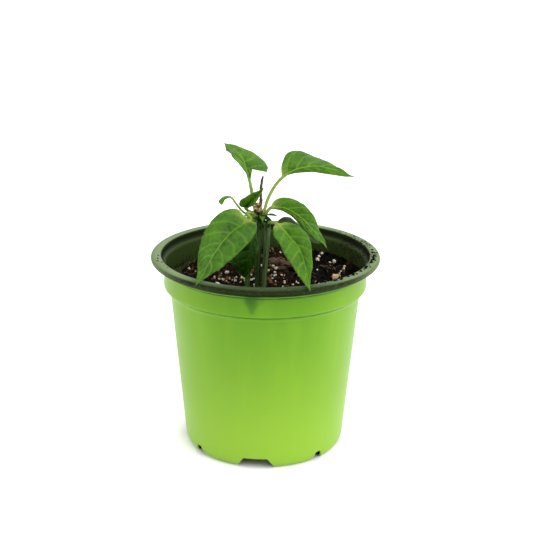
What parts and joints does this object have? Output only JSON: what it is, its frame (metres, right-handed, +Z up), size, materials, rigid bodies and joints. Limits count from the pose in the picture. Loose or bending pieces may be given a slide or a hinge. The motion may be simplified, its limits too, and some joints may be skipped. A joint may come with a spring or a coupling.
{
  "type": "potted chilli pepper plant",
  "caption": "Young chilli pepper plant in a round thermoformed nursery pot, with folded pointed leaves on upright stems in dark potting soil.",
  "frame": {"origin": "centre of the ground face under the pot, on the pot's axis", "axes": "+Z up along the pot's axis, -Y towards the front, where the two long drooping leaves hang over the rim"},
  "size_m": [0.13, 0.13, 0.171],
  "materials": {
    "pot_plastic": "satin lime outside, dark olive inside and over the rim",
    "soil": "matt, crumbly, with white grains",
    "stem": "satin green",
    "dry_stem": "matt, dead and dark",
    "leaf": "satin leaf, paler veins",
    "leaf_dark": "satin leaf, deeper green",
    "peat": "matt, fibrous",
    "bark": "matt, pale"
  },
  "bodies": {
    "root": {"nursery_pot": "pot_plastic", "potting_soil": "soil", "peat_clump": "peat", "bark_chip": "bark", "main_stem": "stem", "right_stem": "stem", "left_stem": "stem", "dried_shoot": "dry_stem", "upper_left_leaf": "leaf", "upper_right_leaf": "leaf", "arching_right_leaf": "leaf", "front_left_leaf": "leaf", "front_right_leaf": "leaf", "back_right_leaf": "leaf_dark", "small_top_leaf": "leaf_dark", "curled_left_leaf": "leaf_dark", "hanging_leaf": "leaf_dark", "narrow_leaf": "leaf_dark", "axil_leaf_front": "leaf_dark", "axil_leaf_right": "leaf_dark", "axil_leaf_lower": "leaf_dark"}
  },
  "joints": []
}
